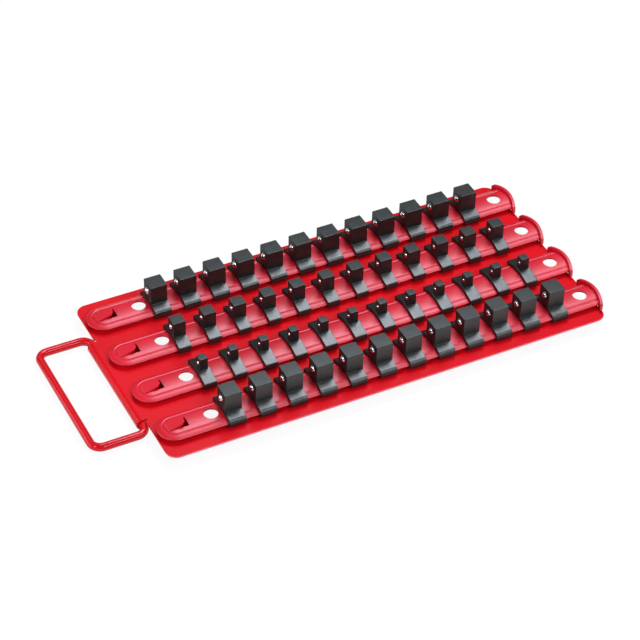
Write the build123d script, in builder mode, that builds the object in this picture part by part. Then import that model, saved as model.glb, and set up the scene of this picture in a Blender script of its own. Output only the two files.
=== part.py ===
from build123d import *
import math
import os

# Socket tray: a pressed steel plate with a folding wire handle and four clip
# rails, each carrying twelve sliding clips with square drive posts.
# X runs along the rails from the handle to the open end, Y to the back, Z up.
# The origin is the middle of the footprint, on the surface the tray stands on.

# Plate
PLATE_LENGTH = 340.0
PLATE_WIDTH = 171.0
PLATE_SHEET = 1.5
PLATE_CORNER = 8.0

# Wire handle and the knuckle rolled from the plate's edge
WIRE_RADIUS = 3.0
WIRE_PLAY = 0.1
HANDLE_ARM = 38.8
HANDLE_SPAN = 105.5
HANDLE_SETBACK = 2.0
GRIP_BEND = 7.2
PIVOT_BEND = 7.5
WIRE_TAIL = 15.0
KNUCKLE_LENGTH = 88.0
KNUCKLE_SETOUT = 1.2
KNUCKLE_WRAP_ANGLE = 285.0
NOTCH_WIDTH = 1.6
NOTCH_DEPTH = 1.5

# Rails
ROW_MARGIN = 10.975
RAIL_WIDTH = 25.0
RAIL_HEIGHT = 6.4
RAIL_SHEET = 1.2
RAIL_MARGIN = 1.4
CROWN_RADIUS = 36.0
RIM_CLEARANCE = 3.3
RIM_REACH = 3.3
RIM_BEVEL = 0.7
GROOVE_WIDTH = 1.4
GROOVE_DEPTH = 0.45

# Holes at the rail ends. The plate's openings under them reach further back,
# so that the holes show right through from the front. Those on the right are
# notches that run out through the plate's edge.
END_HOLE_DIAMETER = 10.2
LEFT_HOLE_INSET = 40.2
RIGHT_HOLE_INSET = 10.2
OPENING_LENGTH = 18.0
OPENING_FRONT = 5.6
OPENING_BACK = 12.0

# Raised tongue that keeps the clips on the rail
TONGUE_INSET = 8.7
TONGUE_LENGTH = 11.3
TONGUE_WIDTH = 8.4
TONGUE_SLOT_LENGTH = 13.8
TONGUE_SLOT_GAP = 0.3
TONGUE_RISE = 3.5
TONGUE_SINK = 0.15
TONGUE_BEVEL = 2.0

# Upturned stop lip at the open end
LIP_WIDTH = 32.6
LIP_BULGE = 3.6
LIP_REACH = 3.2
LIP_SHEET = 2.0
LIP_BOTTOM = 0.3
LIP_RISE = 2.6
LIP_END_DROP = 0.2
LIP_END_BEVEL = 1.0

# Clips
CLIPS_PER_RAIL = 12
CLIP_GAP = 0.35
STRAP_THICKNESS = 1.7
SADDLE_RISE = 3.8
SHOULDER_RISE = 0.2
SHOULDER_BEVEL = 1.2
TOE_CLEARANCE = 1.0
TOE_TUCK = 0.7
HOOK_REACH = 1.9
POST_CHAMFER = 0.4

# Drive posts: side of the square, width of the saddle, height over the rail
HALF_POST = 12.6
HALF_SADDLE = 12.6
HALF_RISE = 17.1
THREE_EIGHTHS_POST = 9.45
THREE_EIGHTHS_SADDLE = 9.45
THREE_EIGHTHS_RISE = 15.0
QUARTER_POST = 6.1
QUARTER_SADDLE = 9.3
QUARTER_RISE = 13.0

# Where the clips of each rail stand: the first after the left hole, the last
# before the right hole, the others evenly between them
REAR_HALF_START = 13.5
REAR_HALF_END = 25.85
THREE_EIGHTHS_START = 11.8
THREE_EIGHTHS_END = 23.15
QUARTER_START = 12.3
QUARTER_END = 23.2
FRONT_HALF_START = 13.9
FRONT_HALF_END = 23.8

# Overrun of every cutting shape past the face it cuts
CUT = 2.0

# Places that follow from the sizes
KNUCKLE_BORE = WIRE_RADIUS + WIRE_PLAY
KNUCKLE_RADIUS = KNUCKLE_BORE + PLATE_SHEET
HANDLE_REACH = KNUCKLE_SETOUT + HANDLE_ARM + WIRE_RADIUS
TOTAL_LENGTH = HANDLE_REACH + PLATE_LENGTH + LIP_REACH
PLATE_LEFT = HANDLE_REACH - TOTAL_LENGTH / 2
PLATE_RIGHT = PLATE_LEFT + PLATE_LENGTH
PLATE_TOP = 2 * KNUCKLE_RADIUS
PIVOT_X = PLATE_LEFT - KNUCKLE_SETOUT
PIVOT_Z = KNUCKLE_RADIUS
LEFT_HOLE_X = PLATE_LEFT + LEFT_HOLE_INSET
RIGHT_HOLE_X = PLATE_RIGHT - RIGHT_HOLE_INSET
HALF_RAIL = RAIL_WIDTH / 2
END_CENTRE_X = PLATE_LEFT + RAIL_MARGIN + HALF_RAIL
LIP_TIP_X = PLATE_RIGHT + LIP_REACH
LIP_RADIUS = ((LIP_WIDTH / 2) ** 2 + LIP_BULGE**2) / (2 * LIP_BULGE)
RIM_BOTTOM = PLATE_TOP + RIM_CLEARANCE
CROWN_TOP = PLATE_TOP + RAIL_HEIGHT
WEB_OUTSIDE = HALF_RAIL - RIM_REACH
WEB_INSIDE = WEB_OUTSIDE - RAIL_SHEET

RAIL_NAMES = ("half_rear", "three_eighths", "quarter", "half_front")
ROW_MIDDLE = (len(RAIL_NAMES) - 1) / 2
ROW_PITCH = (PLATE_WIDTH - RAIL_WIDTH - 2 * ROW_MARGIN) / (len(RAIL_NAMES) - 1)


def crown_height(across):
    """Height of the rail's crown at a distance across from its middle line."""
    drop = CROWN_RADIUS - math.sqrt(CROWN_RADIUS**2 - across**2)
    return CROWN_TOP - drop


def row_middle(row):
    """Y of a rail's middle line, rows counted from the back."""
    return (ROW_MIDDLE - row) * ROW_PITCH


# The plate, with openings under the rail holes and the knuckle on its left edge.
# The knuckle is the same sheet rolled down round the handle's pivot.
with BuildPart() as tray_plate:
    with BuildSketch(Plane.XY.offset(PLATE_TOP - PLATE_SHEET)):
        with Locations(((PLATE_LEFT + PLATE_RIGHT) / 2, 0)):
            RectangleRounded(PLATE_LENGTH, PLATE_WIDTH, PLATE_CORNER)
        opening_width = OPENING_FRONT + OPENING_BACK
        opening_lines = [
            row_middle(row) + (OPENING_BACK - OPENING_FRONT) / 2 for row in range(len(RAIL_NAMES))
        ]
        with Locations(*[(LEFT_HOLE_X, y) for y in opening_lines]):
            Rectangle(OPENING_LENGTH, opening_width, mode=Mode.SUBTRACT)
        with Locations(*[(PLATE_RIGHT, y) for y in opening_lines]):
            notch_depth = RIGHT_HOLE_INSET + OPENING_LENGTH / 2
            Rectangle(2 * notch_depth, opening_width, mode=Mode.SUBTRACT)
        far_notch = HANDLE_SETBACK + (KNUCKLE_LENGTH + NOTCH_WIDTH) / 2
        near_notch = HANDLE_SETBACK - (KNUCKLE_LENGTH + NOTCH_WIDTH) / 2
        with Locations((PLATE_LEFT, far_notch), (PLATE_LEFT, near_notch)):
            Rectangle(2 * NOTCH_DEPTH, NOTCH_WIDTH, mode=Mode.SUBTRACT)
    extrude(amount=PLATE_SHEET)
    with BuildSketch(Plane.XZ.offset(-HANDLE_SETBACK)):
        with BuildLine():
            outer = CenterArc((PIVOT_X, PIVOT_Z), KNUCKLE_RADIUS, 90, KNUCKLE_WRAP_ANGLE)
            inner = CenterArc((PIVOT_X, PIVOT_Z), KNUCKLE_BORE, 90, KNUCKLE_WRAP_ANGLE)
            Line(outer @ 1, inner @ 1)
            Polyline(
                inner @ 0,
                (PLATE_LEFT + NOTCH_DEPTH, PIVOT_Z + KNUCKLE_BORE),
                (PLATE_LEFT + NOTCH_DEPTH, PIVOT_Z + KNUCKLE_RADIUS),
                outer @ 0,
            )
        make_face()
    extrude(amount=KNUCKLE_LENGTH / 2, both=True)

# The handle: one steel wire, bent in at both ends into the knuckle
near_side = HANDLE_SETBACK - HANDLE_SPAN / 2
far_side = HANDLE_SETBACK + HANDLE_SPAN / 2
near_tail = HANDLE_SETBACK - KNUCKLE_LENGTH / 2 + WIRE_TAIL
far_tail = HANDLE_SETBACK + KNUCKLE_LENGTH / 2 - WIRE_TAIL
grip_x = PIVOT_X - HANDLE_ARM
with BuildPart() as handle:
    with BuildLine(Plane.XY.offset(PIVOT_Z)) as wire_path:
        Line((PIVOT_X, near_tail), (PIVOT_X, near_side + PIVOT_BEND))
        JernArc((PIVOT_X, near_side + PIVOT_BEND), (0, -1), PIVOT_BEND, -90)
        Line((PIVOT_X - PIVOT_BEND, near_side), (grip_x + GRIP_BEND, near_side))
        JernArc((grip_x + GRIP_BEND, near_side), (-1, 0), GRIP_BEND, -90)
        Line((grip_x, near_side + GRIP_BEND), (grip_x, far_side - GRIP_BEND))
        JernArc((grip_x, far_side - GRIP_BEND), (0, 1), GRIP_BEND, -90)
        Line((grip_x + GRIP_BEND, far_side), (PIVOT_X - PIVOT_BEND, far_side))
        JernArc((PIVOT_X - PIVOT_BEND, far_side), (1, 0), PIVOT_BEND, -90)
        Line((PIVOT_X, far_side - PIVOT_BEND), (PIVOT_X, far_tail))
    with BuildSketch(Plane(origin=(PIVOT_X, near_tail, PIVOT_Z), z_dir=(0, -1, 0))):
        Circle(WIRE_RADIUS)
    sweep(path=wire_path.wires()[0])


def rail_half_outline():
    """Half of the rail's cross-section: crown, groove, rim, web and inside."""
    crown_middle = WEB_INSIDE / 2
    groove_bottom = WEB_INSIDE + GROOVE_WIDTH / 2
    groove_end = WEB_INSIDE + GROOVE_WIDTH
    bevel_start = HALF_RAIL - RIM_BEVEL
    ThreePointArc(
        (0, CROWN_TOP),
        (crown_middle, crown_height(crown_middle)),
        (WEB_INSIDE, crown_height(WEB_INSIDE)),
    )
    Polyline(
        (WEB_INSIDE, crown_height(WEB_INSIDE)),
        (groove_bottom, crown_height(groove_bottom) - GROOVE_DEPTH),
        (groove_end, crown_height(groove_end)),
        (bevel_start, crown_height(bevel_start)),
        (HALF_RAIL, crown_height(bevel_start) - RIM_BEVEL),
        (HALF_RAIL, RIM_BOTTOM),
        (WEB_OUTSIDE, RIM_BOTTOM),
        (WEB_OUTSIDE, PLATE_TOP),
        (WEB_INSIDE, PLATE_TOP),
        (WEB_INSIDE, crown_height(WEB_INSIDE) - RAIL_SHEET),
        (0, CROWN_TOP - RAIL_SHEET),
        (0, CROWN_TOP),
    )


def make_rail(name, row):
    """One rail: a crowned strip with overhanging rims, a tongue and a stop lip."""
    middle = row_middle(row)
    with BuildPart() as rail:
        # The lip is an upright strip of a round wall, lower towards its ends
        with BuildSketch(Plane.XY.offset(PLATE_TOP)):
            with Locations((LIP_TIP_X - LIP_RADIUS, middle)):
                Circle(LIP_RADIUS)
                Circle(LIP_RADIUS - LIP_SHEET, mode=Mode.SUBTRACT)
        extrude(amount=RAIL_HEIGHT + LIP_RISE)
        with BuildSketch(Plane.YZ.offset(LIP_TIP_X - 2 * LIP_BULGE)) as lip_front:
            with BuildLine():
                near = middle - LIP_WIDTH / 2
                far = middle + LIP_WIDTH / 2
                end_height = CROWN_TOP - LIP_END_DROP
                Polyline(
                    (near, end_height),
                    (near, PLATE_TOP + LIP_BOTTOM),
                    (far, PLATE_TOP + LIP_BOTTOM),
                    (far, end_height),
                )
                ThreePointArc(
                    (far, end_height),
                    (middle, CROWN_TOP + LIP_RISE),
                    (near, end_height),
                )
            make_face()
            chamfer(lip_front.vertices().group_by(Axis.X)[0], LIP_END_BEVEL)
            chamfer(lip_front.vertices().group_by(Axis.X)[-1], LIP_END_BEVEL)
        extrude(amount=2 * LIP_BULGE + CUT, mode=Mode.INTERSECT)
        # The strip itself, and its round end turned about an upright axis
        with BuildSketch(Plane(origin=(END_CENTRE_X, middle, 0), x_dir=(0, 1, 0), z_dir=(1, 0, 0))):
            with BuildLine():
                rail_half_outline()
            make_face()
            mirror(about=Plane.YZ)
        extrude(amount=LIP_TIP_X - LIP_SHEET / 2 - END_CENTRE_X)
        with BuildSketch(Plane(origin=(END_CENTRE_X, middle, 0), x_dir=(0, 1, 0), z_dir=(1, 0, 0))):
            with BuildLine():
                rail_half_outline()
            make_face()
        end_axis = Axis((END_CENTRE_X, middle, 0), (0, 0, 1))
        revolve(axis=end_axis, revolution_arc=180)
        # Everything outside the lip's round is cut away
        with BuildSketch(Plane.XY):
            with Locations((LIP_TIP_X, middle)):
                Rectangle(2 * LIP_BULGE, RAIL_WIDTH + CUT)
            with Locations((LIP_TIP_X - LIP_RADIUS, middle)):
                Circle(LIP_RADIUS, mode=Mode.SUBTRACT)
        extrude(amount=CROWN_TOP + CUT, mode=Mode.SUBTRACT)
        # End holes, and the gaps behind them in the back web
        with BuildSketch(Plane.XY.offset(RIM_BOTTOM)):
            with Locations((LEFT_HOLE_X, middle), (RIGHT_HOLE_X, middle)):
                Circle(END_HOLE_DIAMETER / 2)
        extrude(amount=RAIL_HEIGHT, mode=Mode.SUBTRACT)
        with BuildSketch(Plane.XY.offset(PLATE_TOP)):
            gap_y = middle + OPENING_BACK / 2
            with Locations((LEFT_HOLE_X, gap_y), (RIGHT_HOLE_X, gap_y)):
                Rectangle(OPENING_LENGTH, OPENING_BACK)
        extrude(amount=RIM_CLEARANCE, mode=Mode.SUBTRACT)
        # The tongue is cut on three sides and bent up from its left end
        root_x = PLATE_LEFT + TONGUE_INSET
        slot_width = TONGUE_WIDTH + 2 * TONGUE_SLOT_GAP
        with BuildSketch(Plane.XY.offset(RIM_BOTTOM)):
            with Locations((root_x + TONGUE_SLOT_LENGTH / 2, middle)):
                Rectangle(TONGUE_SLOT_LENGTH, slot_width)
        extrude(amount=RAIL_HEIGHT, mode=Mode.SUBTRACT)
        tongue_top = CROWN_TOP - TONGUE_SINK
        tongue_end = root_x + TONGUE_LENGTH
        with BuildSketch(Plane.XZ.offset(-middle)):
            Polygon(
                (root_x - RAIL_SHEET, tongue_top),
                (root_x, tongue_top),
                (tongue_end, tongue_top + TONGUE_RISE),
                (tongue_end, tongue_top + TONGUE_RISE - RAIL_SHEET),
                (root_x, tongue_top - RAIL_SHEET),
                (root_x - RAIL_SHEET, tongue_top - RAIL_SHEET),
                align=None,
            )
        extrude(amount=TONGUE_WIDTH / 2, both=True)
        tongue_corners = (
            rail.edges()
            .filter_by(Axis.Z)
            .filter_by_position(Axis.X, tongue_end - TONGUE_SLOT_GAP, tongue_end + TONGUE_SLOT_GAP)
        )
        chamfer(tongue_corners, TONGUE_BEVEL)
    rail.part.label = name
    export_step(rail.part, f"parts/{name}.step")


def make_clip(name, place, post_side, saddle_width, post_rise):
    """One clip: a strap over the rail, hooked under both rims, with a square post."""
    clip_x, clip_y = place
    with BuildPart() as clip:
        inner = HALF_RAIL + CLIP_GAP
        outer_edge = inner + STRAP_THICKNESS
        hook = HALF_RAIL - HOOK_REACH
        toe = PLATE_TOP + TOE_CLEARANCE
        hook_top = RIM_BOTTOM - CLIP_GAP
        shoulder = CROWN_TOP + SHOULDER_RISE
        saddle_top = CROWN_TOP + SADDLE_RISE
        # The underside is two flats, each nearest the crown half way to the rim
        nearest = HALF_RAIL / 2
        slope = nearest / math.sqrt(CROWN_RADIUS**2 - nearest**2)
        ridge = crown_height(nearest) + CLIP_GAP + slope * nearest
        rim_top = ridge - slope * inner
        across = Plane(origin=(clip_x, clip_y, 0), x_dir=(0, 1, 0), z_dir=(1, 0, 0))
        with BuildSketch(across) as strap:
            with BuildLine():
                Polyline(
                    (0, ridge),
                    (inner, rim_top),
                    (inner, hook_top),
                    (hook, hook_top),
                    (hook, toe),
                    (outer_edge - TOE_TUCK, toe),
                    (outer_edge, shoulder),
                    (0, saddle_top),
                    (0, ridge),
                )
            make_face()
            mirror(about=Plane.YZ)
            shoulders = strap.vertices().sort_by(Axis.X)
            chamfer([shoulders[0], shoulders[-1]], SHOULDER_BEVEL)
        extrude(amount=saddle_width / 2, both=True)
        with BuildSketch(Plane.XY.offset(CROWN_TOP + SADDLE_RISE / 2)):
            with Locations(place):
                Rectangle(post_side, post_side)
        extrude(amount=post_rise - SADDLE_RISE / 2)
        chamfer(clip.faces().sort_by(Axis.Z)[-1].edges(), POST_CHAMFER)
    clip.part.label = name
    export_step(clip.part, f"parts/{name}.step")


os.makedirs("parts", exist_ok=True)
tray_plate.part.label = "tray_plate"
export_step(tray_plate.part, "parts/tray_plate.step")
handle.part.label = "handle"
export_step(handle.part, "parts/handle.step")

# Post side, saddle width, post height, first clip and last clip of each rail
RAIL_SETS = (
    (HALF_POST, HALF_SADDLE, HALF_RISE, REAR_HALF_START, REAR_HALF_END),
    (
        THREE_EIGHTHS_POST,
        THREE_EIGHTHS_SADDLE,
        THREE_EIGHTHS_RISE,
        THREE_EIGHTHS_START,
        THREE_EIGHTHS_END,
    ),
    (QUARTER_POST, QUARTER_SADDLE, QUARTER_RISE, QUARTER_START, QUARTER_END),
    (HALF_POST, HALF_SADDLE, HALF_RISE, FRONT_HALF_START, FRONT_HALF_END),
)
for row, rail_name in enumerate(RAIL_NAMES):
    make_rail(f"rail_{rail_name}", row)
    side, saddle, rise, start, end = RAIL_SETS[row]
    pitch = (RIGHT_HOLE_X - LEFT_HOLE_X - start - end) / (CLIPS_PER_RAIL - 1)
    for number in range(CLIPS_PER_RAIL):
        place = (LEFT_HOLE_X + start + number * pitch, row_middle(row))
        make_clip(f"clip_{rail_name}_{number + 1:02d}", place, side, saddle, rise)
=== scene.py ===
# %% [markdown]
# # A socket tray in red enamel, black nylon and steel
# The tray is a flat pressed plate with four rails on it. Forty-eight plastic
# clips slide on the rails, and each has a square post that a socket is pushed
# down over. A steel ball in the post holds the socket. This lesson loads the
# measured model as a fixed frame and gives every piece its real looks.

# %% Load the frame
import math

import bmesh
import bpy
from mathutils import Matrix, Vector


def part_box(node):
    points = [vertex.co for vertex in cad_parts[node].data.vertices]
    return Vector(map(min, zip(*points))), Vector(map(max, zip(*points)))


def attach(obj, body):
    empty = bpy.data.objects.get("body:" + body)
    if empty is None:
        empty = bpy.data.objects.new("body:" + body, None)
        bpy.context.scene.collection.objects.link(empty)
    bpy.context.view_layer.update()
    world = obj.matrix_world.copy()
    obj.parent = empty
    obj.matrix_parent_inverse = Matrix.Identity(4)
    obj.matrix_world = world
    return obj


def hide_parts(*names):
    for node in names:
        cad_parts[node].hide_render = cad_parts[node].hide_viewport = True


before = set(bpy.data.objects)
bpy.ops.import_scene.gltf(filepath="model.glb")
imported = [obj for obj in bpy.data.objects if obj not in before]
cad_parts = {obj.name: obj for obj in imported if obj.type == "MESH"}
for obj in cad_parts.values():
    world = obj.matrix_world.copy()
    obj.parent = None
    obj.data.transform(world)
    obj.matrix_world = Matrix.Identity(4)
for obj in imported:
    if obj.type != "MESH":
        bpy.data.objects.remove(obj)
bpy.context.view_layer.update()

MM = 0.001

# %% [markdown]
# ## The camera
# The photograph was taken with a long lens from the front left, well above the
# tray. A camera could be placed by eye, but the corners, holes and posts of
# the tray give its place exactly, so these numbers come from fitting sixty
# such points. A long lens far away keeps the far rows nearly as large as the
# near ones.

# %% Place the camera
AZIMUTH = math.radians(-27.336)
ELEVATION = math.radians(40.602)
ROLL = math.radians(1.342)
DISTANCE = 1627.2 * MM
AIM = Vector((2.7, -0.77, 9.2)) * MM
FOCAL_PIXELS = 2294.7
PICTURE_PIXELS = 640
SENSOR_MM = 36.0
SEES_AS_FAR_AS = 20

to_camera = Vector((
    math.sin(AZIMUTH) * math.cos(ELEVATION),
    -math.cos(AZIMUTH) * math.cos(ELEVATION),
    math.sin(ELEVATION),
))
level_right = (-to_camera).cross(Vector((0, 0, 1))).normalized()
level_up = level_right.cross(-to_camera)
right = level_right * math.cos(ROLL) + level_up * math.sin(ROLL)
up = level_up * math.cos(ROLL) - level_right * math.sin(ROLL)

lens = bpy.data.cameras.new("camera")
lens.sensor_width = SENSOR_MM
lens.lens = FOCAL_PIXELS / PICTURE_PIXELS * SENSOR_MM
lens.clip_end = SEES_AS_FAR_AS
camera = bpy.data.objects.new("camera", lens)
camera.matrix_world = Matrix.Translation(AIM + to_camera * DISTANCE) @ Matrix(
    (right, up, to_camera)
).transposed().to_4x4()
bpy.context.scene.collection.objects.link(camera)
bpy.context.scene.camera = camera
print("lens", round(lens.lens, 1), "mm at", round(DISTANCE, 2), "m")

# %% [markdown]
# ## Two small helpers
# Colours are written as the hex values that a paint chip or a screen shows.
# Blender's shaders want linear light, so one function turns one into the
# other. Node trees get long when each node takes four lines, so one function
# adds a node together with its settings and all that its inputs hold: a
# number, a colour, a material, or the output of another node.

# %% Colours and nodes
def colour(hex_code):
    """Linear RGBA of an sRGB hex colour."""
    channels = [int(hex_code[i:i + 2], 16) / 255 for i in (1, 3, 5)]
    linear = [c / 12.92 if c <= 0.04045 else ((c + 0.055) / 1.055) ** 2.4 for c in channels]
    return (*linear, 1)


def add(tree, kind, inputs=None, **settings):
    """Add a node with its settings; each input takes a value, an output or several outputs."""
    node = tree.nodes.new(kind)
    for name, setting in settings.items():
        setattr(node, name, setting)
    for name, held in (inputs or {}).items():
        sources = held if isinstance(held, list) else [held]
        if isinstance(sources[0], bpy.types.NodeSocket):
            for source in sources:
                tree.links.new(source, node.inputs[name])
        else:
            node.inputs[name].default_value = held
    return node


print("white is", colour("#FFFFFF")[:3])

# %% [markdown]
# ## Where a material starts
# Every material here begins the same way: an empty tree with an output and
# the place on the piece, in metres. Patterns read that place, so their
# scale is the real one on every piece, whatever its size.

# %% An empty material
DRIFT_ENDS = (0.35, 0.65)


def new_material(name):
    """A material, its tree, its output and the place on the piece."""
    material = bpy.data.materials.new(name)
    material.use_nodes = True
    tree = material.node_tree
    tree.nodes.clear()
    surface = add(tree, "ShaderNodeOutputMaterial")
    return material, tree, surface, add(tree, "ShaderNodeTexCoord").outputs["Object"]


def mottled(tree, place, size_mm, first, second):
    """A colour that drifts between two hex colours over a size in mm."""
    drift = add(tree, "ShaderNodeTexNoise", {
        "Vector": place, "Scale": 1 / (size_mm * MM), "Detail": 2.0,
    })
    ramp = add(tree, "ShaderNodeValToRGB", {"Fac": drift.outputs["Fac"]})
    for element, position, hex_code in zip(
        ramp.color_ramp.elements, DRIFT_ENDS, (first, second)
    ):
        element.position = position
        element.color = colour(hex_code)
    return ramp.outputs["Color"]


print("patterns are sized in mm")

# %% [markdown]
# ## Red enamel
# The plate, rails and wire are steel with a sprayed and baked coat. Such a
# coat is glossy but not a mirror: it flows out into a very shallow orange
# peel, a few millimetres from crest to crest, that breaks up reflections.
# The flat sheet was rolled smooth and shines least, the rails scatter light
# into a broad pink sheen along their crowns, and the wire is the smoothest.
# The sheen is faintly cool, which keeps the pink from turning orange.
# A slow noise shifts the colour a little, as a coat of uneven thickness does.
# The plate's cut edges get a paler pink: a painted highlight for the line of light along them.

# %% Mix the enamels
PEEL_MM = 2.5
PEEL_DEPTH_MM = 0.04
PEEL_STRENGTH = 0.05
PEEL_SPREAD = 0.1
DRIFT_MM = 60.0
COOL_SHEEN = "#F1F1FF"
ENAMEL_IOR = 1.5


def enamel(name, thick, thin, roughness, shine, peel_strength=PEEL_STRENGTH):
    """Baked enamel: thick and thin are its colours where the coat is so."""
    material, tree, surface, place = new_material(name)
    peel = add(tree, "ShaderNodeTexNoise", {
        "Vector": place, "Scale": 1 / (PEEL_MM * MM), "Detail": 1.0,
    }).outputs["Fac"]
    gloss = add(tree, "ShaderNodeMapRange", {
        "Value": peel, "To Min": roughness * (1 - PEEL_SPREAD),
        "To Max": roughness * (1 + PEEL_SPREAD),
    })
    relief = add(tree, "ShaderNodeBump", {
        "Height": peel, "Strength": peel_strength, "Distance": PEEL_DEPTH_MM * MM,
    })
    coat = add(tree, "ShaderNodeBsdfPrincipled", {
        "Base Color": mottled(tree, place, DRIFT_MM, thick, thin),
        "Roughness": gloss.outputs["Result"], "IOR": ENAMEL_IOR, "Specular IOR Level": shine,
        "Specular Tint": colour(COOL_SHEEN), "Normal": relief.outputs["Normal"],
    })
    tree.links.new(coat.outputs["BSDF"], surface.inputs["Surface"])
    return material


plate_enamel = enamel("red_enamel_on_flat_sheet", "#C80C18", "#D30E1C", 0.26, 0.205)
# The pale pink of the cut edge is a painted highlight; its shine of 1.0 is a real reflection.
cut_edge_painted_highlight = enamel("red_enamel_painted_pale_as_edge_highlight", "#EA6077", "#EE6C81", 0.2, 1.0)
rail_enamel = enamel("red_enamel_on_rails", "#C60C21", "#D10F2A", 0.38, 0.66)
wire_enamel = enamel("red_enamel_on_wire", "#C40C1A", "#CE0E1D", 0.12, 0.36, 0.0)
print("enamels:", plate_enamel.name, cut_edge_painted_highlight.name, rail_enamel.name, wire_enamel.name)

# %% [markdown]
# ## Moulded nylon
# The clips are injection moulded in black nylon. The mould is lightly spark
# eroded, so the skin has a fine grain that scatters light: the tops go grey
# under a lamp while the sides stay nearly black. Smooth plastic mirrors more
# and more at a grazing look. The grain stops that, so the shine here is a
# fixed share of a rough gloss over a matt body, not the usual Fresnel curve.
# The grain is 0.1 mm on the real clip and is drawn at 1.1 mm, so that it shows.

# %% Mix the nylon
GRAIN_MM = 1.1
GRAIN_DEPTH_MM = 0.06
GRAIN_SPREAD = 0.1
CLOUD_MM = 6.0


def moulded_nylon(name, dark, light, roughness, shine):
    """Black nylon with the grain of a spark-eroded mould; shine is its share of gloss."""
    material, tree, surface, place = new_material(name)
    grain = add(tree, "ShaderNodeTexNoise", {
        "Vector": place, "Scale": 1 / (GRAIN_MM * MM), "Detail": 3.0,
    })
    relief = add(tree, "ShaderNodeBump", {
        "Height": grain.outputs["Fac"], "Strength": 1.0, "Distance": GRAIN_DEPTH_MM * MM,
    }).outputs["Normal"]
    body = add(tree, "ShaderNodeBsdfPrincipled", {
        "Base Color": mottled(tree, place, CLOUD_MM, dark, light),
        "Roughness": 1.0, "Specular IOR Level": 0.0, "Normal": relief,
    })
    gloss = add(tree, "ShaderNodeMapRange", {
        "Value": grain.outputs["Fac"], "To Min": roughness - GRAIN_SPREAD,
        "To Max": roughness + GRAIN_SPREAD,
    })
    skin = add(tree, "ShaderNodeBsdfGlossy", {
        "Color": colour("#F4F8FB"), "Roughness": gloss.outputs["Result"], "Normal": relief,
    })
    both = add(tree, "ShaderNodeMixShader", {
        0: shine, 1: body.outputs["BSDF"], 2: skin.outputs["BSDF"],
    })
    tree.links.new(both.outputs["Shader"], surface.inputs["Surface"])
    return material


nylon = moulded_nylon("moulded_black_nylon", "#181C1D", "#202524", 0.34, 0.069)
print("nylon:", nylon.name)

# %% [markdown]
# ## Polished steel
# The detent balls are hardened chrome steel, ground and polished like the
# balls of a bearing. They show little but what they reflect: the lamps as
# white spots and the enamel around them as red. A faint noise in the
# roughness keeps them from looking like perfect mirrors.

# %% Mix the steel
HAZE_MM = 0.8
HAZE_SPREAD = 0.3


def polished_steel(name, tint, roughness):
    """Ball-bearing steel."""
    material, tree, surface, place = new_material(name)
    haze = add(tree, "ShaderNodeTexNoise", {
        "Vector": place, "Scale": 1 / (HAZE_MM * MM), "Detail": 2.0,
    })
    gloss = add(tree, "ShaderNodeMapRange", {
        "Value": haze.outputs["Fac"], "To Min": roughness * (1 - HAZE_SPREAD),
        "To Max": roughness * (1 + HAZE_SPREAD),
    })
    steel = add(tree, "ShaderNodeBsdfPrincipled", {
        "Base Color": colour(tint), "Metallic": 1.0, "Roughness": gloss.outputs["Result"],
    })
    tree.links.new(steel.outputs["BSDF"], surface.inputs["Surface"])
    return material


ball_steel = polished_steel("polished_ball_steel", "#E4E6E8", 0.2)
print("steel:", ball_steel.name)

# %% [markdown]
# ## Softening a measured solid
# A real pressed edge is never a perfect corner: the tool and the coat round
# it by a few tenths of a millimetre, and that round catches a thin line of
# light. The measured solids have sharp edges, so a softened copy of the same
# surface is shown: its flat faces joined, its edges bevelled. Modelling the
# pieces again would only risk moving them.

# %% Round the edges
BEVEL_STEPS = 2
SAME_PLACE = 0.002 * MM
SAME_PLANE = 0.5


def settled(piece):
    """The piece with its modifiers made part of its mesh."""
    bpy.context.view_layer.update()
    seen = piece.evaluated_get(bpy.context.evaluated_depsgraph_get())
    mesh = bpy.data.meshes.new_from_object(seen)
    piece.modifiers.clear()
    piece.data = mesh
    return piece


def soften_edges(piece, width_mm, sharper_than):
    """A bevel on every edge that is sharper than an angle in degrees."""
    bevel = piece.modifiers.new("edge_round", "BEVEL")
    bevel.width = width_mm * MM
    bevel.segments = BEVEL_STEPS
    bevel.limit_method = "ANGLE"
    bevel.angle_limit = math.radians(sharper_than)
    flat = piece.modifiers.new("flat_faces_stay_flat", "WEIGHTED_NORMAL")
    flat.weight = 100
    return settled(piece)


def softened_copy(node, name, width_mm, sharper_than, material):
    """A copy of a measured node with its faces joined and its edges rounded."""
    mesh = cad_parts[node].data.copy()
    work = bmesh.new()
    work.from_mesh(mesh)
    bmesh.ops.remove_doubles(work, verts=work.verts, dist=SAME_PLACE)
    bmesh.ops.dissolve_limit(
        work, angle_limit=math.radians(SAME_PLANE), verts=work.verts, edges=work.edges
    )
    for face in work.faces:
        face.smooth = True
        face.material_index = 0
    work.to_mesh(mesh)
    work.free()
    mesh.materials.clear()
    mesh.materials.append(material)
    piece = bpy.data.objects.new(name, mesh)
    bpy.context.scene.collection.objects.link(piece)
    return soften_edges(piece, width_mm, sharper_than)


# %% [markdown]
# ## The plate and the rails
# Both are steel sheet. The plate is blanked from 1.5 mm sheet. The upright
# faces along its front and rear get a paler pink enamel: a painted highlight
# for the pale line of light along its long cut edges. The rails are thinner,
# are drawn tighter and keep crisper edges round their grooves.

# %% Show the sheet metal
RAILS = ("half_rear", "three_eighths", "quarter", "half_front")
PLATE_CORNER = 8 * MM
UPRIGHT = 0.8
PLATE_ROUND, PLATE_SHARP = 0.5, 30
RAIL_ROUND, RAIL_SHARP = 0.22, 32

plate = softened_copy("tray_plate", "plate", PLATE_ROUND, PLATE_SHARP, plate_enamel)
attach(plate, "tray")
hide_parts("tray_plate")

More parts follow.
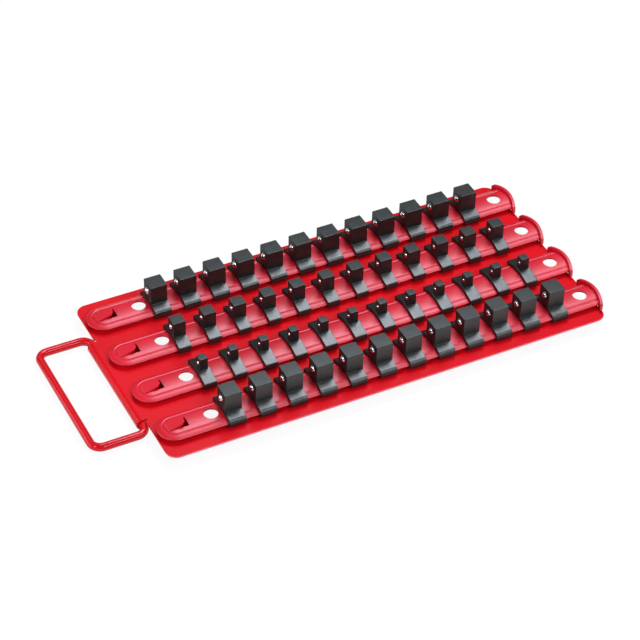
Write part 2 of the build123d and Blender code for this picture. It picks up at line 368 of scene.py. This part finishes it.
low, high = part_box("tray_plate")
# The upright front and rear faces get the paler enamel, a painted highlight.
plate.data.materials.append(cut_edge_painted_highlight)
for face in plate.data.polygons:
    from_side = min(face.center.y - low.y, high.y - face.center.y)
    if from_side < PLATE_CORNER and abs(face.normal.z) < UPRIGHT:
        face.material_index = 1
print("cut edge:", sum(face.material_index for face in plate.data.polygons), "faces")

for rail in RAILS:
    strip = softened_copy(
        f"rail_{rail}", f"rail_strip_{rail}", RAIL_ROUND, RAIL_SHARP, rail_enamel
    )
    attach(strip, "tray")
    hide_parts(f"rail_{rail}")
    print(strip.name, len(strip.data.polygons), "faces")

# %% [markdown]
# ## Growing a shape from a tree
# The wire, the clips and the balls are made by Geometry Nodes. A tree is a
# recipe with named inputs: the same one serves every size. It is written
# here node by node, run once, and what it made is kept as a plain mesh.

# %% A tree with named inputs, and how to run it
def new_tree(name, inputs):
    """A geometry tree with one geometry in and out and the named inputs."""
    tree = bpy.data.node_groups.new(name, "GeometryNodeTree")
    tree.interface.new_socket("Geometry", in_out="INPUT", socket_type="NodeSocketGeometry")
    tree.interface.new_socket("Geometry", in_out="OUTPUT", socket_type="NodeSocketGeometry")
    for label, kind in {**inputs, "Finish": "Material"}.items():
        tree.interface.new_socket(label, in_out="INPUT", socket_type="NodeSocket" + kind)
    return tree, add(tree, "NodeGroupInput").outputs, add(tree, "NodeGroupOutput").inputs


def finish_tree(tree, shape, given, result):
    """Smooth shading, real geometry and the material at the end of a tree."""
    smooth = add(tree, "GeometryNodeSetShadeSmooth", {"Geometry": shape})
    real = add(tree, "GeometryNodeRealizeInstances", {"Geometry": smooth.outputs[0]})
    dressed = add(tree, "GeometryNodeSetMaterial", {
        "Geometry": real.outputs["Geometry"], "Material": given["Finish"],
    })
    tree.links.new(dressed.outputs[0], result["Geometry"])
    print(tree.name, "has", len(tree.nodes), "nodes")


def grow(name, mesh, tree, settings):
    """An object with a tree on it, whose inputs are set before it is first run."""
    piece = bpy.data.objects.new(name, mesh)
    modifier = piece.modifiers.new("growth", "NODES")
    modifier.node_group = tree
    for item in tree.interface.items_tree:
        if item.in_out == "INPUT" and item.name in settings:
            modifier[item.identifier] = settings[item.name]
    bpy.context.scene.collection.objects.link(piece)
    return piece


# %% [markdown]
# ## The wire handle
# The handle is one length of round steel wire, bent in a former before it
# was coated. A bent wire is a path with a round section, so the tree takes
# the corners of the path, rounds every bend and pulls a circle along it. The
# corners come from the box of the measured handle, so the two fit exactly.
# The two tails run back towards each other inside the rolled knuckle.

# %% The wire tree
BEND_STEPS = 10
WIRE_SIDES = 20

wire_tree, given, result = new_tree("bent_wire", {"Wire radius": "Float", "Bend radius": "Float"})
path = add(wire_tree, "GeometryNodeMeshToCurve", {"Mesh": given["Geometry"]})
bends = add(wire_tree, "GeometryNodeFilletCurve", {
    "Curve": path.outputs["Curve"], "Count": BEND_STEPS, "Radius": given["Bend radius"],
}, mode="POLY")
section = add(wire_tree, "GeometryNodeCurvePrimitiveCircle", {
    "Resolution": WIRE_SIDES, "Radius": given["Wire radius"],
})
drawn = add(wire_tree, "GeometryNodeCurveToMesh", {
    "Curve": bends.outputs["Curve"], "Profile Curve": section.outputs["Curve"],
    "Fill Caps": True,
})
finish_tree(wire_tree, drawn.outputs["Mesh"], given, result)

# %% Bend the wire
BEND_RADIUS = 7.3 * MM
KNUCKLE_LENGTH = 88 * MM
WIRE_TAIL = 15 * MM

low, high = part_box("handle")
wire_radius = (high.z - low.z) / 2
grip_x, pivot_x = low.x + wire_radius, high.x - wire_radius
middle_y, pivot_z = (low.y + high.y) / 2, (low.z + high.z) / 2
arm = (high.y - low.y) / 2 - wire_radius
tail = KNUCKLE_LENGTH / 2 - WIRE_TAIL
half_path = [(pivot_x, tail), (pivot_x, arm), (grip_x, arm)]
corners = [(x, middle_y + y, pivot_z) for x, y in half_path]
corners += [(x, middle_y - y, pivot_z) for x, y in reversed(half_path)]
path_mesh = bpy.data.meshes.new("wire_path")
path_mesh.from_pydata(corners, [(i, i + 1) for i in range(len(corners) - 1)], [])
wire = settled(grow("wire", path_mesh, wire_tree, {
    "Wire radius": wire_radius, "Bend radius": BEND_RADIUS, "Finish": wire_enamel,
}))
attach(wire, "handle")
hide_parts("handle")
print("wire", round(2 * wire_radius / MM, 1), "mm thick,", len(wire.data.polygons), "faces")

# %% [markdown]
# ## The section of a clip
# A clip is a strap that bends over the rail and hooks under both rims. Its
# section is the same all along, so it is drawn once as a flat face. The
# underside is an arc that clears the crown by a third of a millimetre, and
# the mould rounds the shoulders: much on the big clips, little on the small.

# %% The sizes of the section in mm
PLATE_TOP = 9.2
RAIL_HEIGHT = 6.4
RIM_CLEARANCE = 3.3
CROWN_RADIUS = 36.0
HALF_RAIL = 12.5
CLIP_GAP = 0.35
STRAP = 1.7
SADDLE_RISE = 3.8
SHOULDER_RISE = 0.2
HOOK_REACH = 1.9
TOE_CLEARANCE = 1.0
TOE_TUCK = 0.7
TOE_ROUND = 1.0
HOOK_ROUND = 0.3
RIM_CORNER_ROUND = 0.4
ARC_STEPS = 5
ROUND_STEPS = 4

CROWN_TOP = PLATE_TOP + RAIL_HEIGHT
RIM_BOTTOM = PLATE_TOP + RIM_CLEARANCE
SHOULDER_TOP = CROWN_TOP + SHOULDER_RISE
TOE_BOTTOM = PLATE_TOP + TOE_CLEARANCE
print("the crown is", CROWN_TOP, "mm up and the strap", STRAP, "mm thick")


# %% Draw the section
def rounded(corners):
    """Outline of (y, z, reach) corners in mm, each corner turned into an arc."""
    outline = []
    for i, (y, z, reach) in enumerate(corners):
        here = Vector((y, z))
        ways = [Vector(corners[j % len(corners)][:2]) - here for j in (i - 1, i + 1)]
        start, end = [here + way.normalized() * min(reach, way.length / 2) for way in ways]
        shares = [step / ROUND_STEPS for step in range(ROUND_STEPS + 1)] if reach else [0]
        outline += [start * (1 - t) ** 2 + here * 2 * t * (1 - t) + end * t ** 2 for t in shares]
    return outline


def clip_section(name, post_side, shoulder_round):
    """The strap's section as one flat face, with corners where the post starts."""
    inner = HALF_RAIL + CLIP_GAP
    outer = inner + STRAP
    slope = (CROWN_TOP + SADDLE_RISE - SHOULDER_TOP) / outer
    post_edge = post_side / 2
    post_foot = CROWN_TOP + SADDLE_RISE - slope * post_edge
    under = []
    for step in range(ARC_STEPS + 1):
        y = inner * step / ARC_STEPS
        reach = math.sqrt((CROWN_RADIUS + CLIP_GAP) ** 2 - y ** 2)
        corner_round = RIM_CORNER_ROUND if step == ARC_STEPS else 0
        under.append((y, CROWN_TOP - CROWN_RADIUS + reach, corner_round))
    half = under + [
        (inner, RIM_BOTTOM - CLIP_GAP, 0),
        (HALF_RAIL - HOOK_REACH, RIM_BOTTOM - CLIP_GAP, HOOK_ROUND),
        (HALF_RAIL - HOOK_REACH, TOE_BOTTOM, HOOK_ROUND),
        (outer - TOE_TUCK, TOE_BOTTOM, TOE_ROUND),
        (outer, SHOULDER_TOP, shoulder_round),
        (post_edge, post_foot, 0),
        (0.0, post_foot, 0),
    ]
    other = [(-y, z, reach) for y, z, reach in reversed(half[1:-1])]
    outline = rounded(half + other)
    mesh = bpy.data.meshes.new(name)
    mesh.from_pydata([(0, p.x * MM, p.y * MM) for p in outline], [], [range(len(outline))])
    return mesh


print("a clip spans", round(2 * (HALF_RAIL + CLIP_GAP + STRAP), 1), "mm across its rail")

# %% [markdown]
# ## Placing a piece in its row
# Every clip is a body of its own, since each slides alone, so the tree makes
# one at a time. It lays out the whole row and keeps only the place with the
# number it was given. The balls use the same steps, and stay with the posts
# when a pitch changes.

# %% One place of a row
ROW_INPUTS = {"First place": "Float", "Pitch": "Float", "Row": "Float", "Count": "Int",
              "Number": "Int"}


def at_its_place(tree, given, shape):
    """Sets a shape at its number in the row: the other places stay empty."""
    start = add(tree, "ShaderNodeCombineXYZ", {"X": given["First place"], "Y": given["Row"]})
    pitch = add(tree, "ShaderNodeCombineXYZ", {"X": given["Pitch"]})
    row = add(tree, "GeometryNodeMeshLine", {
        "Count": given["Count"], "Start Location": start.outputs[0], "Offset": pitch.outputs[0],
    })
    chosen = add(tree, "FunctionNodeCompare", {
        2: add(tree, "GeometryNodeInputIndex").outputs[0], 3: given["Number"],
    }, data_type="INT", operation="EQUAL")
    return add(tree, "GeometryNodeInstanceOnPoints", {
        "Points": row.outputs["Mesh"], "Selection": chosen.outputs[0], "Instance": shape,
    }).outputs["Instances"]


print("row inputs:", ", ".join(ROW_INPUTS))

# %% [markdown]
# ## The clip tree: the strap
# The section is moved back by half the clip's width and pulled along the
# rail in three lengths: up to the post, along the post, and on to the end.
# Joining the post on as a second solid leaves slivers where faces lie in one
# plane. Three pulls leave a square of faces that is exactly as long as the
# post.

# %% Pull the strap
SEAM = 0.001 * MM

clip_tree, given, result = new_tree("moulded_clip", {
    "Saddle width": "Float", "Post side": "Float", "Post top": "Float", **ROW_INPUTS,
})
half_back = add(clip_tree, "ShaderNodeMath", {0: given["Saddle width"], 1: -0.5},
                operation="MULTIPLY")
back = add(clip_tree, "ShaderNodeCombineXYZ", {"X": half_back.outputs[0]})
start_face = add(clip_tree, "GeometryNodeSetPosition", {
    "Geometry": given["Geometry"], "Offset": back.outputs[0],
}).outputs["Geometry"]
spare = add(clip_tree, "ShaderNodeMath", {0: given["Saddle width"], 1: given["Post side"]},
            operation="SUBTRACT")
beside_post = add(clip_tree, "ShaderNodeMath", {0: spare.outputs[0], 1: 0.5},
                  operation="MULTIPLY").outputs[0]
pulled, front = start_face, True
for length in (beside_post, given["Post side"], beside_post):
    along = add(clip_tree, "ShaderNodeCombineXYZ", {"X": length})
    pull = add(clip_tree, "GeometryNodeExtrudeMesh", {
        "Mesh": pulled, "Selection": front, "Offset": along.outputs[0], "Offset Scale": 1.0,
        "Individual": False,
    })
    pulled, front = pull.outputs["Mesh"], pull.outputs["Top"]
end_face = add(clip_tree, "GeometryNodeFlipFaces", {"Mesh": start_face})
both = add(clip_tree, "GeometryNodeJoinGeometry", {
    "Geometry": [pulled, end_face.outputs["Mesh"]],
})
strap = add(clip_tree, "GeometryNodeMergeByDistance", {
    "Geometry": both.outputs[0], "Distance": SEAM,
}).outputs["Geometry"]
print("the strap takes", len(clip_tree.nodes), "nodes")

# %% [markdown]
# ## The clip tree: the post
# The faces that look up and lie within half a post's side of the middle are
# the foot of the post. They are pulled up as one block and set level at the
# post's top, so strap and post are one moulding, as on the real clip.

# %% Raise the post
LOOKS_UP = 0.5

spot = add(clip_tree, "ShaderNodeSeparateXYZ", {
    0: add(clip_tree, "GeometryNodeInputPosition").outputs[0],
}).outputs
look = add(clip_tree, "ShaderNodeSeparateXYZ", {
    0: add(clip_tree, "GeometryNodeInputNormal").outputs[0],
}).outputs
half_post = add(clip_tree, "ShaderNodeMath", {0: given["Post side"], 1: 0.5},
                operation="MULTIPLY").outputs[0]
foot = add(clip_tree, "ShaderNodeMath", {0: look["Z"], 1: LOOKS_UP},
           operation="GREATER_THAN").outputs[0]
for axis in ("X", "Y"):
    off_centre = add(clip_tree, "ShaderNodeMath", {0: spot[axis]}, operation="ABSOLUTE")
    inside = add(clip_tree, "ShaderNodeMath", {0: off_centre.outputs[0], 1: half_post},
                 operation="LESS_THAN")
    foot = add(clip_tree, "ShaderNodeMath", {0: foot, 1: inside.outputs[0]},
               operation="MULTIPLY").outputs[0]
raised = add(clip_tree, "GeometryNodeExtrudeMesh", {
    "Mesh": strap, "Selection": foot, "Offset Scale": MM, "Individual": False,
})
level = add(clip_tree, "ShaderNodeCombineXYZ", {
    "X": spot["X"], "Y": spot["Y"], "Z": given["Post top"],
})
moulding = add(clip_tree, "GeometryNodeSetPosition", {
    "Geometry": raised.outputs["Mesh"], "Selection": raised.outputs["Top"],
    "Position": level.outputs[0],
})
finish_tree(clip_tree, at_its_place(clip_tree, given, moulding.outputs[0]), given, result)

# %% [markdown]
# ## The detent balls
# Each post has a hole in its left face with a spring and a ball in it. The
# rim of the hole is staked, so only a cap of the ball stands out and it
# can't fall out. A short tree makes the ball, sinks it into the face of the
# post and sets it in the same row.

# %% The ball tree
BALL_SEGMENTS = 20
BALL_RINGS = 12

ball_tree, given, result = new_tree("detent_ball", {
    "Ball radius": "Float", "Stands out": "Float", "Post side": "Float", "Height": "Float",
    **ROW_INPUTS,
})
sphere = add(ball_tree, "GeometryNodeMeshUVSphere", {
    "Segments": BALL_SEGMENTS, "Rings": BALL_RINGS, "Radius": given["Ball radius"],
})
face_x = add(ball_tree, "ShaderNodeMath", {0: given["Post side"], 1: -0.5}, operation="MULTIPLY")
sunk = add(ball_tree, "ShaderNodeMath", {0: given["Ball radius"], 1: given["Stands out"]},
           operation="SUBTRACT")
centre_x = add(ball_tree, "ShaderNodeMath", {0: face_x.outputs[0], 1: sunk.outputs[0]},
               operation="ADD")
centre = add(ball_tree, "ShaderNodeCombineXYZ", {"X": centre_x.outputs[0], "Z": given["Height"]})
seated = add(ball_tree, "GeometryNodeTransform", {
    "Geometry": sphere.outputs["Mesh"], "Translation": centre.outputs[0],
})
finish_tree(ball_tree, at_its_place(ball_tree, given, seated.outputs["Geometry"]), given, result)

# %% [markdown]
# ## Three sizes of post
# Two rails carry half-inch posts, one three-eighths and one quarter-inch.
# Each size is written once, in mm. Heights are over the rail's crown.

# %% The sizes of the posts
HALF_INCH = {
    "side": 12.6, "rise": 17.1, "shoulder": 2.6,
    "ball radius": 2.8, "ball stands out": 1.7, "ball height": 10.8,
}
THREE_EIGHTHS = {
    "side": 9.45, "rise": 15.0, "shoulder": 0.9,
    "ball radius": 2.1, "ball stands out": 1.1, "ball height": 9.5,
}
QUARTER = {
    "side": 6.1, "rise": 13.0, "shoulder": 0.9,
    "ball radius": 1.5, "ball stands out": 0.8, "ball height": 8.4,
}
POSTS = dict(zip(RAILS, (HALF_INCH, THREE_EIGHTHS, QUARTER, HALF_INCH)))
print("post sides:", [post["side"] for post in POSTS.values()])

# %% [markdown]
# ## Forty-eight clips
# The places of the first and last clip of each rail are read from the
# measured model, and the tree shares out the rest.

# %% Make every clip and its ball
CLIPS_PER_RAIL = 12
NYLON_ROUND, NYLON_SHARP = 0.25, 35

for rail in RAILS:
    post = POSTS[rail]
    section_mesh = clip_section(f"section_{rail}", post["side"], post["shoulder"])
    first_low, first_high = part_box(f"clip_{rail}_01")
    last_low, last_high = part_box(f"clip_{rail}_{CLIPS_PER_RAIL}")
    first = (first_low.x + first_high.x) / 2
    last = (last_low.x + last_high.x) / 2
    row = {
        "First place": first,
        "Pitch": (last - first) / (CLIPS_PER_RAIL - 1),
        "Row": (first_low.y + first_high.y) / 2,
        "Count": CLIPS_PER_RAIL,
    }
    for number in range(CLIPS_PER_RAIL):
        body = f"clip_{rail}_{number + 1:02d}"
        clip = grow(f"{body}_moulding", section_mesh, clip_tree, {
            "Saddle width": first_high.x - first_low.x, "Post side": post["side"] * MM,
            "Post top": (CROWN_TOP + post["rise"]) * MM, "Number": number, "Finish": nylon, **row,
        })
        soften_edges(clip, NYLON_ROUND, NYLON_SHARP)
        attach(clip, body)
        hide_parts(body)
        steel = grow(f"{body}_ball", bpy.data.meshes.new("ball"), ball_tree, {
            "Ball radius": post["ball radius"] * MM, "Stands out": post["ball stands out"] * MM,
            "Height": (CROWN_TOP + post["ball height"]) * MM, "Post side": post["side"] * MM,
            "Number": number, "Finish": ball_steel, **row,
        })
        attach(settled(steel), body)
    print(rail, "pitch", round(row["Pitch"] / MM, 2), "mm, faces:", len(clip.data.polygons))

# %% [markdown]
# ## The floor
# The tray was photographed on white and cut out. A white floor that the
# camera sees mostly as plain white gives the same, and a share of its real
# shading keeps the soft shadow that stands the tray on something.

# %% Lay the floor
FLOOR_SHADE_SHARE = 0.08
FIBRE_MM = 1.1
FLOOR_SIZE = 8.0

white_floor, tree, surface, place = new_material("white_paper_floor")
matt = add(tree, "ShaderNodeBsdfDiffuse", {
    "Color": mottled(tree, place, FIBRE_MM, "#F4F4F4", "#FFFFFF"),
})
plain = add(tree, "ShaderNodeEmission", {"Strength": 1.0})
ray = add(tree, "ShaderNodeLightPath").outputs
seen = add(tree, "ShaderNodeMath", {0: ray["Is Camera Ray"], 1: ray["Is Glossy Ray"]},
           operation="MAXIMUM")
share = add(tree, "ShaderNodeMath", {0: seen.outputs[0], 1: 1 - FLOOR_SHADE_SHARE},
            operation="MULTIPLY")
blend = add(tree, "ShaderNodeMixShader", {
    0: share.outputs[0], 1: matt.outputs["BSDF"], 2: plain.outputs["Emission"],
})
tree.links.new(blend.outputs["Shader"], surface.inputs["Surface"])

sheet = bpy.data.meshes.new("floor")
reach = FLOOR_SIZE / 2
sheet.from_pydata(
    [(-reach, -reach, 0), (reach, -reach, 0), (reach, reach, 0), (-reach, reach, 0)],
    [], [(0, 1, 2, 3)],
)
sheet.materials.append(white_floor)
floor = bpy.data.objects.new("floor", sheet)
bpy.context.scene.collection.objects.link(floor)
print("floor", FLOOR_SIZE, "m wide")

# %% [markdown]
# ## The room
# A plain pale room fills the shadows. The camera sees it as pure white, like
# the paper, so the floor has no visible end.

# %% Fill the room
ROOM_LEVEL = 0.12

world = bpy.data.worlds.new("pale_room")
bpy.context.scene.world = world
world.use_nodes = True
tree = world.node_tree
tree.nodes.clear()
room = add(tree, "ShaderNodeBackground", {"Color": colour("#FFFFFF"), "Strength": ROOM_LEVEL})
backdrop = add(tree, "ShaderNodeBackground", {"Color": colour("#FFFFFF"), "Strength": 1.0})
seen = add(tree, "ShaderNodeMixShader", {
    0: add(tree, "ShaderNodeLightPath").outputs["Is Camera Ray"],
    1: room.outputs[0], 2: backdrop.outputs[0],
})
add(tree, "ShaderNodeOutputWorld", {"Surface": seen.outputs[0]})
bpy.context.scene.view_settings.view_transform = "Standard"
print("room level", ROOM_LEVEL)

# %% [markdown]
# ## The lamps
# Tool photographs are lit from a large soft box above and behind the tray.
# It glances off everything that faces up: the crowns go pink, the post tops
# grey, while the fronts stay dark. A long low box in front lights the pale
# line along the plate's front edge, which the paler edge enamel also draws as
# a painted highlight, and two boxes on the left light the steel balls, which
# all face that way. Each lamp is given its place, width and height in metres,
# its watts and its tint.

# %% Light the tray
def soft_box(name, place, width, height, watts, tint):
    """A lamp with a flat front that faces the tray."""
    lamp = bpy.data.lights.new(name, "AREA")
    lamp.shape = "RECTANGLE"
    lamp.size = width
    lamp.size_y = height
    lamp.energy = watts
    lamp.color = colour(tint)[:3]
    holder = bpy.data.objects.new(name, lamp)
    holder.location = place
    holder.rotation_euler = (-Vector(place)).to_track_quat("-Z", "Y").to_euler()
    bpy.context.scene.collection.objects.link(holder)
    print(name, watts, "W")


soft_box("soft_box_above", (0.5, 0.42, 1.45), 0.9, 0.7, 20, "#F6FAFF")
soft_box("soft_box_behind", (0.05, 1.1, 1.05), 0.8, 0.4, 0.6, "#FFFFFF")
soft_box("long_box_front", (0.4, -1.0, 1.05), 1.2, 0.25, 10, "#FFFFFF")
soft_box("strip_box_left", (-1.3, -0.5, 0.9), 0.3, 0.7, 7.5, "#FFFFFF")
soft_box("tall_box_left", (-1.2, 0.45, 0.4), 1.1, 0.7, 5.5, "#FFFFFF")
